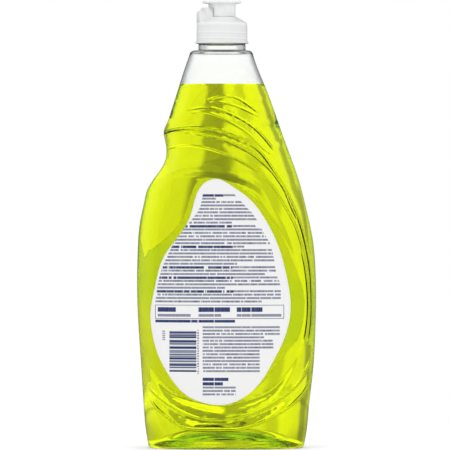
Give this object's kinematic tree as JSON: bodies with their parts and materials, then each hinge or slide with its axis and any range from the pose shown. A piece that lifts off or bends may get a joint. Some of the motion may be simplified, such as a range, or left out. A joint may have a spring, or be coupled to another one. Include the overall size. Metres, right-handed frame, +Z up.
{
  "type": "dish soap bottle",
  "caption": "Clear sculpted bottle of dish soap with a recessed label panel and a push-pull screw closure.",
  "frame": {"origin": "middle of the footprint's box, on the surface that the bottle stands on", "axes": "+Z up along the neck, +X to the right with the printed panel facing the viewer, +Y away from it"},
  "size_m": [0.1124, 0.068, 0.2803],
  "materials": {
    "clear_bottle": "clear, glossy blown plastic",
    "soap_liquid": "clear yellow-green liquid",
    "label_film": "white satin film with dark blue print",
    "washer_foam": "white closed-cell foam",
    "natural_closure": "natural, milky, satin moulding",
    "natural_spout": "natural, milky, satin moulding"
  },
  "bodies": {
    "filled_bottle": {"bottle": "clear_bottle", "soap": "soap_liquid", "back_label": "label_film", "front_label": "label_film"},
    "washer": {"seal_ring": "washer_foam"},
    "screw_closure": {"closure": "natural_closure"},
    "spout": {"pull_spout": "natural_spout"}
  },
  "joints": [
    {"name": "closure_rise", "type": "slide", "parent": "filled_bottle", "child": "washer", "axis": [0, 0, 1], "range_m": [0, 0.00477]},
    {"name": "closure_turn", "type": "hinge", "parent": "washer", "child": "screw_closure", "pos_m": [-0.003, 0, 0.266], "axis": [0, 0, 1], "range_deg": [0, 540]},
    {"name": "spout_pull", "type": "slide", "parent": "screw_closure", "child": "spout", "axis": [0, 0, 1], "range_m": [0, 0.0048]}
  ],
  "couplings": [
    {"joint": "closure_rise", "follows": "closure_turn", "m_per_rad": 0.00050532}
  ]
}
